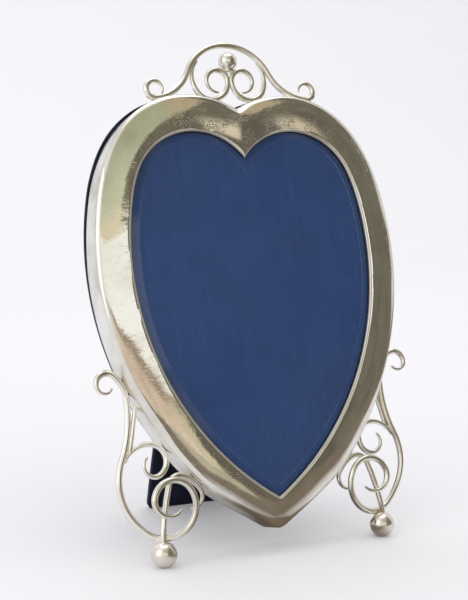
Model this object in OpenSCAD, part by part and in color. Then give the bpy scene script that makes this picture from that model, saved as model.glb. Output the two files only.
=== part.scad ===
// Heart shaped photo frame: a domed silver heart with scrolled wire crest and feet,
// on a velvet covered back with a strut.
// The heart is drawn upright, X across it, Z up it and Y into it, with the window's tip at the origin.
// The finished heart leans back on its two ball feet and on the strut behind it.

/* [Heart window] */
// Slope of the window's two sides where they meet at the tip, in degrees
tip_slope = 33.3; // [31:0.1:36]
// Radius that softens the window's tip
window_tip_r = 1; // [0.6:0.1:2]
// Radius of the long side of the window
side_r = 113; // [100:1:125]
// Angle that the long side turns through
side_turn = 69.5; // [67:0.5:72]
// Radius where the long side runs into its lobe
shoulder_r = 56; // [45:1:65]
// Angle that this shoulder turns through
shoulder_turn = 10; // [6:1:14]
// Radius of the two lobes
lobe_r = 26.5; // [24:0.5:29]

/* [Silver face] */
// Width of the face beside the tip
tip_face_w = 10.8; // [9:0.1:12]
// Width of the face at the sides
side_face_w = 13.4; // [12:0.1:16]
// Width of the face over the lobes
top_face_w = 15.8; // [14:0.1:18]
// Width of the bright lip that turns in to the glass
lip_w = 1.1; // [0.8:0.1:1.5]
// Height of this lip over the glass
lip_h = 1.1; // [0.8:0.1:1.5]
// How far the domed face falls from the lip to the shoulder
dome_fall = 1.9; // [1.2:0.1:2.6]
// Width of the rounded shoulder at the outer edge
shoulder_w = 2.4; // [1.6:0.1:3]
// Depth of the seam between the face and the side band, behind the lip's foot
seam_y = 3.2; // [2.6:0.1:4]
// Thickness of the silver sheet
sheet_t = 0.8; // [0.5:0.1:1]

/* [Side band] */
// Depth of the silver side band
band_depth = 11.3; // [9:0.1:14]
// Thickness of the band
band_t = 0.8; // [0.5:0.1:1.2]

/* [Glass, lining and wood] */
// How far the glass reaches behind the lip
glass_lap = 3; // [2:0.1:4]
// Width of the bevel that shows inside the window
bevel_show = 3.2; // [2:0.2:4.4]
// Rise of the bevel for each millimetre of its width
bevel_rise = 0.15; // [0.08:0.01:0.18]
// Thickness of the glass
glass_t = 2.6; // [2.4:0.1:3.2]
// Room for a photograph between the glass and the blue lining
photo_gap = 0.3; // [0.2:0.1:0.6]
// Thickness of the blue twill lining
lining_t = 0.5; // [0.3:0.1:0.8]
// Thickness of the card under the lining
card_t = 1.5; // [1:0.1:2]
// Clearance between the loose inner pieces and what holds them
slip_gap = 0.1; // [0.05:0.05:0.3]

/* [Velvet back] */
// Thickness of the back board
back_t = 2.3; // [1.8:0.1:3]
// Thickness of the velvet with its pile
velvet_t = 0.7; // [0.4:0.1:1]
// How far the back stands above the silver heart
back_rise = 1.5; // [0:0.1:2]
// Radius of the back screws' shanks
screw_r = 1; // [0.8:0.1:1.2]
// Radius of the back screws' heads
screw_head_r = 2.2; // [1.8:0.1:2.6]
// Length of the back screws under the head
screw_len = 9; // [7:0.5:11]

/* [Wirework] */
// Radius of the main wires
wire_r = 1.05; // [0.9:0.05:1.2]
// Radius of the inner scrolls' wire
scroll_r = 0.95; // [0.8:0.05:1.05]
// Radius of the wires' pointed ends
point_r = 0.4; // [0.3:0.05:0.6]
// Length over which a wire is drawn down to its point
point_len = 12; // [8:1:16]
// Radius of the crest's arch, which all its other bends follow in proportion
arch_r = 19.6; // [17:0.1:21]
// Depth of the arch's middle, behind the lip's foot
arch_y = 8; // [6:0.1:9]
// Depth of the arch's two curls
arch_curl_y = 5; // [4.4:0.1:6]
// Depth of the crest's ball and inner scrolls
crest_y = 6.5; // [5:0.1:8]
// Radius of the ring inside each foot scroll, which all the feet's other bends follow in proportion
ring_r = 6; // [5.4:0.1:6.6]
// Depth of the foot scrolls where they rest on the band
foot_back_y = 9.3; // [8.5:0.1:11]
// Depth of their rings, which wind forward past the stem
ring_y = 2.8; // [2:0.1:3.4]
// Depth of the balls' middle
ball_y = 6; // [5:0.1:7]
// How far a soldered wire bites into its seat
solder_bite = 0.12; // [0.05:0.01:0.2]
// Height of the foot scroll's seat on the band, above the window's tip
foot_seat_z = 46.6; // [42:0.5:50]
// Height on the band where the short tie starts
tie_z = 39.7; // [36:0.5:42]
// Radius of the ball feet
ball_r = 5; // [4:0.1:6]
// Depth of the small worn flat under each ball
ball_flat = 0.2; // [0.1:0.05:0.4]
// Radius of the ball in the crest
crest_ball_r = 3.8; // [3.2:0.1:4.2]

/* [Strut and stance] */
// Angle that the heart leans back, in degrees
lean = 14.1; // [10:0.1:18]
// Angle between the strut and the back when it stands
strut_open = 29.5; // [26:0.1:36]
// Height of the hinge pin above the window's tip
hinge_z = 103.3; // [90:0.5:112]
// Width of the hinge
hinge_w = 20; // [16:1:22]
// Length of each hinge leaf from the pin
leaf_len = 13; // [11:0.5:15]
// Thickness of the hinge leaves
leaf_t = 0.5; // [0.4:0.05:0.7]
// Radius of the hinge pin
pin_r = 0.6; // [0.5:0.05:0.7]
// Radius of the hinge knuckles
knuckle_r = 1.2; // [1.1:0.05:1.4]
// Radial clearance of the pin and the rivets in their holes
fit_gap = 0.03; // [0.02:0.01:0.06]
// Radius of the hinge rivets
rivet_r = 0.7; // [0.5:0.05:0.9]
// Width of the strut at its foot
strut_foot_w = 50.6; // [44:0.2:54]
// Width of the strut at its top
strut_top_w = 25; // [22:0.5:30]
// Radius of the strut's foot corners
strut_corner_r = 3; // [2:0.5:5]
// Thickness of the strut's board
strut_t = 2.2; // [1.6:0.1:3]

/* [Hidden] */
$fn = 48;

silver = [0.80, 0.78, 0.72];
brass = [0.72, 0.58, 0.32];
wood = [0.55, 0.40, 0.26];
velvet = [0.07, 0.08, 0.16];

// How round the outer tip is: a larger power is crisper
tip_power = 12;
// Radius of the bevel's own corner at the tip
bevel_tip_r = 0.6;
// Rise of the face from the lip before it falls away
dome_lift = 0.7;
// Steps along the tip, side, shoulder and lobe of the half heart
rim_steps = [4, 18, 3, 18];
// Degrees of bend for each ring of a wire, and the wire's sides
ring_turn = 12;
wire_sides = 10;

// Each bend of a wire is its radius, as a share of arch_r or ring_r, and the degrees that it turns,
// plus to the left.
function bends_of(shares, r) = [for (b = shares) [b[0] * r, b[1]]];
arch_bends = bends_of([[1, -66.3], [0.98, 59.3], [0.173, 276]], arch_r);
arch_left_bends = bends_of([[1, -66.3], [0.98, 59.3], [0.173, 309]], arch_r);
crest_scroll_bends = bends_of([[0.531, -73.5], [0.376, -128], [0.397, -24], [0.237, -267]], arch_r);
foot_bends = bends_of(
    [[1.4, 16], [8.5, 28], [3.87, -55], [4.72, -17], [1.93, -169], [1.35, -127], [1, -155]],
    ring_r);
foot_top_bends = bends_of([[2.55, -27], [0.72, -149], [0.52, -132]], ring_r);
foot_curl_bends = bends_of([[1.67, 74], [1.1, 98], [1.05, 41], [0.72, 171]], ring_r);
crook_bends = bends_of([[16, 12.9], [0.79, 95.3], [2.3, 37], [0.76, 122]], ring_r);
// Where the crest scrolls leave the arch, in degrees from its top
crest_scroll_at = 47;
// How much steeper each foot scroll stands than the band at its seat, in degrees
foot_steeper = 1.8;
// Direction in which the stems rise from the balls, in degrees
stem_heading = 96;
// How far each ball stands out from the lowest point of its scroll
ball_shift = 0.43 * ring_r;
// Radius of the short ties
tie_r = 0.8;
// Length of the crest ball's neck
crest_neck = 0.6;
crest_neck_r = 2.2;
// Stations of the half heart that carry the back screws, and the depth of their slots
screw_stations = [11, 36];
slot_depth = 0.4;
slot_w = 0.5;
head_h = 0.9;
rivet_head_r = 1.5;
rivet_head_h = 0.5;
rivet_len = 2.6;
rivet_x = 6;
rivet_z = 9;
// Gap at each end of the middle knuckle, and between the strut and the pin
knuckle_gap = 0.15;
strut_drop = 2;
strut_steps = 12;
strut_taper = 2.5;

// A place on a path is [across, up, heading]. bend() carries it round one bend.
function bend(s, r, a) =
    let (k = a < 0 ? -1 : 1, h = s[2] + a)
    [s[0] + k * r * (sin(h) - sin(s[2])), s[1] - k * r * (cos(h) - cos(s[2])), h];
function places(s, bends, i = 0) =
    i == len(bends) ? [s] : concat([s], places(bend(s, bends[i][0], bends[i][1]), bends, i + 1));
function path(s, bends) =
    let (at = places(s, bends))
    [for (i = [0:len(bends) - 1])
        let (n = max(2, ceil(abs(bends[i][1]) / ring_turn)))
        for (k = [i == 0 ? 0 : 1:n]) bend(at[i], bends[i][0], bends[i][1] * k / n)];
function last(list) = list[len(list) - 1];
function ease(t) = let (c = min(1, max(0, t))) c * c * (3 - 2 * c);
function backwards(list) = [for (i = [len(list) - 1:-1:0]) list[i]];
function beside(s, d) = [s[0] - d * sin(s[2]), s[1] + d * cos(s[2]), s[2]];

// The window's right half runs from its tip up the side and over the lobe to the cusp.
side_bends = [[window_tip_r, tip_slope], [side_r, side_turn], [shoulder_r, shoulder_turn]];
side_places = places([0, 0, 0], side_bends);
lobe_h = side_places[3][2];
lobe_x = side_places[3][0] - lobe_r * sin(lobe_h);
lobe_z = side_places[3][1] + lobe_r * cos(lobe_h);
window_bends = concat(side_bends, [[lobe_r, 180 + asin(lobe_x / lobe_r) - lobe_h]]);
outer_bends = concat(side_bends, [[lobe_r, 90 + acos(-lobe_x / (lobe_r + top_face_w)) - lobe_h]]);
function stations(bends, start = [0, 0, 0]) =
    let (at = places(start, bends))
    [for (b = [0:3]) for (k = [b == 0 ? 0 : 1:rim_steps[b]])
        bend(at[b], bends[b][0], bends[b][1] * k / rim_steps[b])];

// The face widens from the tip to the sides and again over the lobes, by the way that its edge looks.
function face_w(facing) =
    side_face_w - (side_face_w - tip_face_w) * ease((-42 - facing) / 15)
    + (top_face_w - side_face_w) * ease((facing - 20) / 60);
function tip_w(facing) =
    (tip_face_w + window_tip_r)
    / pow(pow(cos(facing + 90 - tip_slope), tip_power) + pow(abs(cos(facing + 90 + tip_slope)), tip_power),
          1 / tip_power) - window_tip_r;
window_rim = stations(window_bends);
outer_rim = [for (s = stations(outer_bends))
    let (facing = s[2] - 90, w = facing < tip_slope - 90 ? tip_w(facing) : face_w(facing))
    [s[0] + w * cos(facing), s[1] + w * sin(facing)]];
rim_last = len(outer_rim) - 1;
function across(i) = [outer_rim[i][0] - window_rim[i][0], outer_rim[i][1] - window_rim[i][1]];
function width_at(i) = norm(across(i));
// A point of the half heart, d outside the window's edge
function rim(i, d) =
    let (f = d / width_at(i))
    [max(0, window_rim[i][0] + across(i)[0] * f), window_rim[i][1] + across(i)[1] * f];
function whole(half) = concat(half, [for (i = [rim_last - 1:-1:1]) [-half[i][0], half[i][1]]]);
function outside_window(d) = whole([for (i = [0:rim_last]) rim(i, d)]);
function inside_edge(e) = whole([for (i = [0:rim_last]) rim(i, width_at(i) - e)]);

// The bevel's inner edge runs parallel to the window, and closes with a small corner of its own at the tip.
bevel_side_r = side_r - bevel_show;
side_c = [side_places[1][0] - side_r * sin(tip_slope), side_places[1][1] + side_r * cos(tip_slope)];
bevel_tip_c = side_c[1] - sqrt(pow(bevel_side_r - bevel_tip_r, 2) - side_c[0] * side_c[0]);
bevel_slope = 90 + atan2(bevel_tip_c - side_c[1], -side_c[0]);
bevel_lobe_r = lobe_r - bevel_show;
bevel_edge = whole(stations([
    [bevel_tip_r, bevel_slope], [bevel_side_r, side_places[2][2] - bevel_slope],
    [shoulder_r - bevel_show, shoulder_turn], [bevel_lobe_r, 180 + asin(lobe_x / bevel_lobe_r) - lobe_h]],
    [0, bevel_tip_c - bevel_tip_r, 0]));

// Heights of the outer edge over the lobes, and its half width below the widest place
function top_at(x) =
    lookup(abs(x), [for (i = [rim_steps[0] + rim_steps[1] + rim_steps[2]:rim_last]) outer_rim[i]]);
side_table = [for (i = [0:rim_steps[0] + rim_steps[1] - 3]) [outer_rim[i][1], outer_rim[i][0]]];
function side_at(z) = lookup(z, side_table);
half_step = PI / 360 * side_r * side_turn / rim_steps[1];
function side_heading(z) = atan2(2 * half_step, side_at(z + half_step) - side_at(z - half_step));

// Depths of the pieces behind the lip
glass_y = slip_gap / 2 - bevel_rise * bevel_show;
glass_back_y = glass_y + glass_t;
lining_y = glass_back_y + photo_gap;
card_y = lining_y + lining_t;
plug_y = card_y + card_t;
band_back_y = seam_y + band_depth;
board_y = band_back_y + slip_gap;
velvet_y = board_y + back_t;
back_y = velvet_y + velvet_t;
pin_y = back_y + knuckle_r + slip_gap;

// Gives each place of a path its depth: it eases from one [run, depth] to the next.
function gap(a, b) = norm([b[0] - a[0], b[1] - a[1]]);
function runs(p, i = 0, s = 0) =
    i == len(p) ? [] : concat([s], runs(p, i + 1, s + (i < len(p) - 1 ? gap(p[i], p[i + 1]) : 0)));
function glide(s, knots, i = 1) =
    i == len(knots) ? knots[0][1]
    : glide(s, knots, i + 1)
        + (knots[i][1] - knots[i - 1][1]) * ease((s - knots[i - 1][0]) / (knots[i][0] - knots[i - 1][0]));
function deep(p, knots) = let (run = runs(p))
    [for (i = [0:len(p) - 1]) [p[i][0], p[i][1], p[i][2], glide(run[i], knots)]];
function bends_length(bends, n, i = 0) =
    i == n ? 0 : bends[i][0] * abs(bends[i][1]) * PI / 180 + bends_length(bends, n, i + 1);

// The crest rests on the two lobes: its arch by the flanks, and its scrolls by their lowest bends.
crest_scroll_start = beside(bend([0, 0, 0], arch_r, -crest_scroll_at), -(wire_r + point_r));
crest_scroll_rise = path(crest_scroll_start, crest_scroll_bends);
arch_seat = [for (s = path([0, 0, 0], arch_bends)) if (s[2] < -2 && s[0] > arch_r) s];
arch_z = max(concat(
    [for (s = arch_seat) top_at(s[0]) + (wire_r - solder_bite) / cos(s[2]) - s[1]],
    [for (s = crest_scroll_rise) top_at(s[0]) + scroll_r - solder_bite - s[1]]));
arch_half = bends_length(arch_left_bends, 3);
arch_left = path([0, arch_z, 0], arch_left_bends);
arch_right = path([0, arch_z, 0], arch_bends);
arch_path = deep(
    concat([for (s = backwards(arch_left)) [-s[0], s[1], -s[2]]],
        [for (i = [1:len(arch_right) - 1]) arch_right[i]]),
    [[0, arch_curl_y], [arch_half, arch_y], [2 * arch_half, arch_curl_y]]);
crest_scroll_path = deep([for (s = crest_scroll_rise) [s[0], s[1] + arch_z, s[2]]],
    [[0, arch_y - scroll_r / 2], [arch_half / 2, crest_y]]);
crest_ball_z = crest_neck + max([for (s = crest_scroll_path)
    let (reach = crest_ball_r + scroll_r) if (s[0] < reach) s[1] + sqrt(reach * reach - s[0] * s[0])]);

// Each foot scroll is soldered to the band, and winds forward so that its ring passes in front of the stem.
foot_h = side_heading(foot_seat_z) + foot_steeper;
foot_start = beside([side_at(foot_seat_z), foot_seat_z, foot_h], -(wire_r - solder_bite));
foot_down_start = [foot_start[0], foot_start[1], foot_h - 180];
foot_down = path(foot_down_start, foot_bends);
foot_up = path(foot_start, foot_top_bends);
foot_seat_run = bends_length(foot_top_bends, 3);
foot_path = deep(
    concat([for (s = backwards(foot_up)) [s[0], s[1], s[2] + 180]],
        [for (i = [1:len(foot_down) - 1]) foot_down[i]]),
    [[0, foot_back_y - 1.5 * wire_r],
     [foot_seat_run, foot_back_y],
     [foot_seat_run + bends_length(foot_bends, 3), foot_back_y],
     [foot_seat_run + bends_length(foot_bends, 5), ring_y]]);

// Each ball sits under its scroll's lowest bend, and touches it from a little in front.
foot_low_z = min([for (s = foot_path) s[1]]);
foot_low = [for (s = foot_path) if (s[1] == foot_low_z) s][0];
loop_r = foot_bends[4][0];
ball_reach = sqrt(pow(ball_r + wire_r - solder_bite, 2) - pow(foot_low[3] - ball_y, 2));
ball_x = foot_low[0] + ball_shift;
ball_z = foot_low_z + loop_r - sqrt(pow(loop_r + ball_reach, 2) - ball_shift * ball_shift);

foot_branch = places(foot_down_start, foot_bends)[2];
foot_curl_start = beside([foot_branch[0], foot_branch[1], foot_branch[2] + 180], wire_r + point_r);
foot_curl_path = deep(path(foot_curl_start, foot_curl_bends),
    [[0, foot_back_y], [bends_length(foot_curl_bends, 4), foot_back_y - 2 * wire_r]]);

// The crook stands on its ball behind the ring, and is moved across until its bend rests on the band.
stem_y = ring_y + wire_r + scroll_r + fit_gap;
crook_z = ball_z + sqrt(ball_r * ball_r - pow(ball_y - stem_y, 2)) - solder_bite;
crook_free = path([ball_x, crook_z, stem_heading], crook_bends);
crook_gaps = [for (s = crook_free) (s[0] - side_at(s[1])) * sin(side_heading(s[1]))];
crook_rest = [for (i = [0:len(crook_gaps) - 1]) if (crook_gaps[i] == min(crook_gaps)) crook_free[i]][0];
crook_shift = (scroll_r - solder_bite - min(crook_gaps)) / sin(side_heading(crook_rest[1]));
crook_path = deep([for (s = crook_free) [s[0] + crook_shift, s[1], s[2]]],
    [[0, stem_y], [bends_length(crook_bends, 4), stem_y + scroll_r]]);
tie_top = [side_at(tie_z), tie_z];
tie_foot = foot_curl_path[2];

// The stance: the heart leans about X, and the strut opens behind it.
function leant_y(y, z) = y * cos(lean) + z * sin(lean);
function leant_z(y, z) = z * cos(lean) - y * sin(lean);
strut_front_y = knuckle_r;
strut_back_y = strut_front_y + strut_t + 2 * velvet_t;
strut_a = strut_open - lean;
lift = ball_r - ball_flat - leant_z(ball_y, ball_z);
pin_up = leant_z(pin_y, hinge_z) + lift;
pin_back = leant_y(pin_y, hinge_z);
strut_rear = pin_back + pin_up * tan(strut_a) + strut_back_y / cos(strut_a);
ball_front = leant_y(ball_y, ball_z) - ball_r;
middle_y = (ball_front + strut_rear) / 2;
strut_len = (pin_up + strut_back_y * sin(strut_a)) / cos(strut_a);
strut_foot_y = pin_back + pin_up * tan(strut_a) + (strut_front_y + strut_back_y) / 2 / cos(strut_a);
echo(ball = [ball_x, leant_y(ball_y, ball_z) - middle_y]);
echo(pin = [pin_back - middle_y, pin_up], depth = strut_rear - ball_front);
echo(strut_foot_y = strut_foot_y - middle_y);

module stand() translate([0, -middle_y, lift]) rotate([-lean, 0, 0]) children();
module on_strut() translate([0, pin_back - middle_y, pin_up]) rotate([strut_a, 0, 0]) children();
module above_floor(gap = 0) difference() {
    children();
    translate([-strut_len, -strut_len, gap - 2 * ball_r]) cube([2 * strut_len, 2 * strut_len, 2 * ball_r]);
}
// Turns a flat shape upright and gives it its depth from y0 to y1
module slab(y0, y1) translate([0, y1, 0]) rotate([90, 0, 0]) linear_extrude(y1 - y0) children();
module heart(points) polygon(points);
module peg(x, z, y0, y1, r) translate([x, y1, z]) rotate([90, 0, 0]) cylinder(h = y1 - y0, r = r);

// Joins rings of equal length into a solid. A ring is [points, depth of each point].
module loft(rings, closed) {
    n = len(rings[0]);
    m = len(rings);
    points = [for (ring = rings) for (p = ring) p];
    sides = [for (j = [0:closed ? m - 1 : m - 2]) for (i = [0:n - 1])
        let (
            a = j * n + i,
            b = j * n + (i + 1) % n,
            c = (j + 1) % m * n + i,
            d = (j + 1) % m * n + (i + 1) % n)
        each [[a, b, d], [a, d, c]]];
    ends = closed ? [] : [[for (i = [n - 1:-1:0]) i], [for (i = [0:n - 1]) (m - 1) * n + i]];
    polyhedron(points, concat(sides, ends));
}
function at_depth(flat, y) = [for (p = flat) [p[0], y, p[1]]];

// Half section of the pressed face: distance from the window's edge, and depth
function dome(t) = -lip_h - dome_lift * t + (dome_lift + dome_fall) * t * t;
function curve(a, b, c, t) = a * (1 - t) * (1 - t) + 2 * b * t * (1 - t) + c * t * t;
function face_section(w) =
    let (
        span = w - lip_w - shoulder_w,
        slope = (dome_lift + 2 * dome_fall) / span,
        edge = [w - shoulder_w, dome(1)],
        turn = [w, dome(1) + shoulder_w * slope],
        in_edge = edge + [-0.3, 1] * sheet_t,
        in_turn = turn + [-1, 0.6] * sheet_t)
    concat(
        [[0, 0], [0.3 * lip_w, -0.75 * lip_h]],
        [for (t = [0:0.2:0.8]) [lip_w + span * t, dome(t)]],
        [for (t = [0:0.25:1]) curve(edge, turn, [w, seam_y], t)],
        [for (t = [1:-0.5:0]) curve(in_edge, in_turn, [w - sheet_t, seam_y], t)],
        [for (t = [0.6, 0.25]) [lip_w + span * t, dome(t) + sheet_t]],
        [[lip_w, sheet_t - lip_h], [0.6 * lip_w, 0]]);
module silver_face() color(silver) stand() {
    sections = [for (i = [0:rim_last]) face_section(width_at(i))];
    loft([for (j = [0:len(sections[0]) - 1])
        let (half = [for (i = [0:rim_last])
            let (p = rim(i, sections[i][j][0])) [p[0], sections[i][j][1], p[1]]])
        concat(half, [for (i = [rim_last - 1:-1:1]) [-half[i][0], half[i][1], half[i][2]]])], true);
}
module side_band() color(silver) stand() slab(seam_y, band_back_y) difference() {
    heart(inside_edge(0));
    heart(inside_edge(band_t));
}

module screw_places() for (i = screw_stations) for (side = [-1, 1]) {
    at = rim(i, (glass_lap + width_at(i) - band_t) / 2);
    translate([side * at[0], 0, at[1]]) children();
}
module wood_liner() color(wood) stand() difference() {
    union() {
        slab(seam_y + slip_gap, band_back_y) heart(inside_edge(band_t + slip_gap));
        slab(seam_y / 2, seam_y + slip_gap) heart(inside_edge(shoulder_w + 2 * sheet_t));
    }
    slab(0, band_back_y + 1) heart(outside_window(glass_lap + slip_gap));
    screw_places() peg(0, 0, back_y - screw_len - slip_gap, band_back_y + 1, screw_r + fit_gap);
}
module bevelled_glass() color([0.8, 0.9, 0.95, 0.4]) stand() loft([
    at_depth(bevel_edge, glass_y),
    at_depth(outside_window(glass_lap), glass_y + bevel_rise * (bevel_show + glass_lap)),
    at_depth(outside_window(glass_lap), glass_back_y)], false);
module blue_lining() color([0.16, 0.24, 0.44]) stand()
    slab(lining_y, card_y) heart(outside_window(glass_lap - slip_gap));
module lining_card() color([0.85, 0.82, 0.74]) stand()
    slab(card_y, plug_y) heart(outside_window(glass_lap - slip_gap));
module plug_board() color(wood) stand()
    slab(plug_y, board_y) heart(outside_window(glass_lap - 2 * slip_gap));

module rivet_places(dir) for (side = [-1, 1]) translate([side * rivet_x, 0, dir * rivet_z]) children();
module back_holes() {
    screw_places() peg(0, 0, board_y - 1, back_y + 1, screw_r + slip_gap);
    translate([0, 0, hinge_z]) rivet_places(1)
        peg(0, 0, back_y + leaf_t - rivet_len, back_y + 1, rivet_r + fit_gap);
}
module back_board() color(wood) stand() difference() {
    translate([0, 0, back_rise]) slab(board_y, velvet_y) heart(inside_edge(velvet_t));
    back_holes();
}
module velvet_back() color(velvet) stand() difference() {
    translate([0, 0, back_rise]) slab(board_y, back_y) heart(inside_edge(0));
    translate([0, 0, back_rise]) slab(board_y - 1, velvet_y) heart(inside_edge(velvet_t));
    back_holes();
}
module back_screws() color(brass) stand() screw_places() {
    peg(0, 0, back_y - screw_len, back_y + 0.1, screw_r);
    difference() {
        intersection() {
            peg(0, 0, back_y, back_y + head_h, screw_head_r);
            translate([0, back_y + head_h - 2 * screw_head_r, 0]) sphere(r = 2 * screw_head_r);
        }
        translate([-screw_head_r - 1, back_y + head_h - slot_depth, -slot_w / 2])
            cube([2 * screw_head_r + 2, 1, slot_w]);
    }
}

// Draws a round wire along a path with depths, drawn down to a point at either end
module wire(p, r, start_point, end_point) {
    run = runs(p);
    total = last(run);
    loft(backwards([for (i = [0:len(p) - 1])
        let (
            from_start = start_point ? run[i] : point_len,
            from_end = end_point ? total - run[i] : point_len,
            thin = min(from_start, from_end) / point_len,
            w = point_r + (r - point_r) * min(1, thin))
        [for (k = [0:wire_sides - 1])
            let (t = 360 * k / wire_sides, out = w * cos(t))
            [p[i][0] - out * sin(p[i][2]), p[i][3] + w * sin(t), p[i][1] + out * cos(p[i][2])]]]), false);
}
module pair(side) if (side > 0) children(); else mirror([1, 0, 0]) children();
module crest_arch() color(silver) stand() wire(arch_path, wire_r, true, true);
module crest_scroll(side) color(silver) stand() pair(side) wire(crest_scroll_path, scroll_r, true, true);
module crest_ball() color(silver) stand() translate([0, crest_y, crest_ball_z]) {
    sphere(r = crest_ball_r);
    translate([0, 0, -crest_ball_r - crest_neck]) cylinder(h = crest_neck + 1, r = crest_neck_r);
}
module foot_scroll(side) color(silver) stand() pair(side) wire(foot_path, wire_r, true, true);
module foot_curl(side) color(silver) stand() pair(side) wire(foot_curl_path, scroll_r, true, true);
module foot_crook(side) color(silver) stand() pair(side) wire(crook_path, scroll_r, false, true);
module foot_tie(side) color(silver) stand() pair(side) translate([0, foot_back_y, 0]) {
    along = [tie_foot[0] - tie_top[0], tie_foot[1] - tie_top[1]];
    translate([tie_top[0], 0, tie_top[1]]) rotate([0, atan2(along[0], along[1]), 0])
        cylinder(h = norm(along) - scroll_r + solder_bite, r = tie_r);
}
module ball_foot(side) color(silver) above_floor() stand() pair(side)
    translate([ball_x, ball_y, ball_z]) sphere(r = ball_r);

module knuckles(from, to) for (side = [-1, 1]) translate([side > 0 ? from : -to, 0, 0]) rotate([0, 90, 0])
    cylinder(h = to - from, r = knuckle_r);
middle_knuckle = hinge_w / 6;
module pin_hole() translate([-hinge_w, 0, 0]) rotate([0, 90, 0])
    cylinder(h = 2 * hinge_w, r = pin_r + fit_gap);
module hinge_leaf_back() color(brass) stand() translate([0, pin_y, hinge_z]) difference() {
    union() {
        knuckles(middle_knuckle + knuckle_gap, hinge_w / 2);
        translate([-hinge_w / 2, back_y - pin_y, 0]) cube([hinge_w, leaf_t, leaf_len]);
    }
    translate([-middle_knuckle - knuckle_gap, -5, -5])
        cube([2 * (middle_knuckle + knuckle_gap), 10, 5 + knuckle_r + knuckle_gap]);
    pin_hole();
    rivet_places(1) peg(0, 0, -5, 5, rivet_r + fit_gap);
}
module hinge_leaf_strut() color(brass) on_strut() difference() {
    union() {
        translate([-middle_knuckle, 0, 0]) rotate([0, 90, 0])
            cylinder(h = 2 * middle_knuckle, r = knuckle_r);
        translate([-hinge_w / 2, strut_front_y - leaf_t, -leaf_len]) cube([hinge_w, leaf_t, leaf_len]);
    }
    for (side = [-1, 1]) translate([side > 0 ? middle_knuckle : -hinge_w, -5, -knuckle_r - knuckle_gap])
        cube([hinge_w - middle_knuckle, 10, 10]);
    pin_hole();
    rivet_places(-1) peg(0, 0, -5, 5, rivet_r + fit_gap);
}
module hinge_pin() color(brass) stand() translate([-hinge_w / 2 - 0.3, pin_y, hinge_z]) rotate([0, 90, 0])
    cylinder(h = hinge_w + 0.6, r = pin_r);
module hinge_rivets_back() color(brass) stand() translate([0, back_y + leaf_t, hinge_z]) rivet_places(1) {
    peg(0, 0, -rivet_len, 0.1, rivet_r);
    peg(0, 0, 0, rivet_head_h, rivet_head_r);
}
module hinge_rivets_strut() color(brass) on_strut() translate([0, strut_front_y - leaf_t, 0])
    rivet_places(-1) {
    peg(0, 0, -0.1, rivet_len, rivet_r);
    peg(0, 0, -rivet_head_h, 0, rivet_head_r);
}

// The strut is widest at its foot, and its sides draw in towards the hinge.
function strut_half(z, trim) =
    let (up = 1 - z / strut_len)
    strut_foot_w / 2 - trim - (strut_foot_w - strut_top_w) / 2 * pow(up, strut_taper);
module strut_outline(trim) {
    low = strut_len - trim;
    side = [for (k = [0:strut_steps])
        let (z = strut_drop + trim + (low - strut_corner_r - strut_drop - trim) * k / strut_steps)
        [strut_half(z, trim), -z]];
    corner_x = strut_half(low - strut_corner_r, trim);
    corner = [for (a = [15:15:90])
        [corner_x - strut_corner_r * (1 - cos(a)), -low + strut_corner_r * (1 - sin(a))]];
    half = concat(side, corner);
    polygon(concat(half, [for (p = backwards(half)) [-p[0], p[1]]]));
}
module strut_core() difference() {
    slab(strut_front_y + velvet_t, strut_back_y - velvet_t) strut_outline(velvet_t);
    rivet_places(-1) peg(0, 0, 0, strut_front_y - leaf_t + rivet_len, rivet_r + fit_gap);
}
module strut_board() color(wood) above_floor(velvet_t) on_strut() strut_core();
module strut_velvet() color(velvet) difference() {
    above_floor() on_strut() slab(strut_front_y, strut_back_y) strut_outline(0);
    above_floor(velvet_t) on_strut()
        slab(strut_front_y + velvet_t, strut_back_y - velvet_t) strut_outline(velvet_t);
    on_strut() rivet_places(-1) peg(0, 0, 0, strut_front_y + 2 * velvet_t, rivet_r + fit_gap);
}

silver_face();
side_band();
wood_liner();
bevelled_glass();
blue_lining();
lining_card();
plug_board();
back_board();
velvet_back();
back_screws();
crest_arch();
crest_scroll(-1);  // crest_scroll_left
crest_scroll(1);  // crest_scroll_right
crest_ball();
foot_scroll(-1);  // foot_scroll_left
foot_scroll(1);  // foot_scroll_right
foot_curl(-1);  // foot_curl_left
foot_curl(1);  // foot_curl_right
foot_crook(-1);  // foot_crook_left
foot_crook(1);  // foot_crook_right
foot_tie(-1);  // foot_tie_left
foot_tie(1);  // foot_tie_right
ball_foot(-1);  // ball_foot_left
ball_foot(1);  // ball_foot_right
hinge_leaf_back();
hinge_leaf_strut();
hinge_pin();
hinge_rivets_back();
hinge_rivets_strut();
strut_board();
strut_velvet();
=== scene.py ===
import bpy
import math
from mathutils import Matrix, Vector, noise


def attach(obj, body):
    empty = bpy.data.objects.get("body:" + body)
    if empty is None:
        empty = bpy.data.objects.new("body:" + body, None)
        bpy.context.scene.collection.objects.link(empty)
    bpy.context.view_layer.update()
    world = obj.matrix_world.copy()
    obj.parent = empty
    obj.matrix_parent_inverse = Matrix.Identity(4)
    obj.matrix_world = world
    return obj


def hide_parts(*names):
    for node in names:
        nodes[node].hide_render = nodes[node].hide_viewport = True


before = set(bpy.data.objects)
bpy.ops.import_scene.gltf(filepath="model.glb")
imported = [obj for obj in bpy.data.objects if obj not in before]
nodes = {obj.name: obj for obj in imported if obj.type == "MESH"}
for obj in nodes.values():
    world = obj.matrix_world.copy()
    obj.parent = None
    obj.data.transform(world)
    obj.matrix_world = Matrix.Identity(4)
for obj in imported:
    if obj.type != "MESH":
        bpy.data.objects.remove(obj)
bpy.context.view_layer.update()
print("frame loaded:", len(nodes), "nodes")

mm = 0.001
sidesOfHeart = ((-1, "left"), (1, "right"))


def sinD(a):
    return math.sin(math.radians(a))


def cosD(a):
    return math.cos(math.radians(a))


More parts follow.
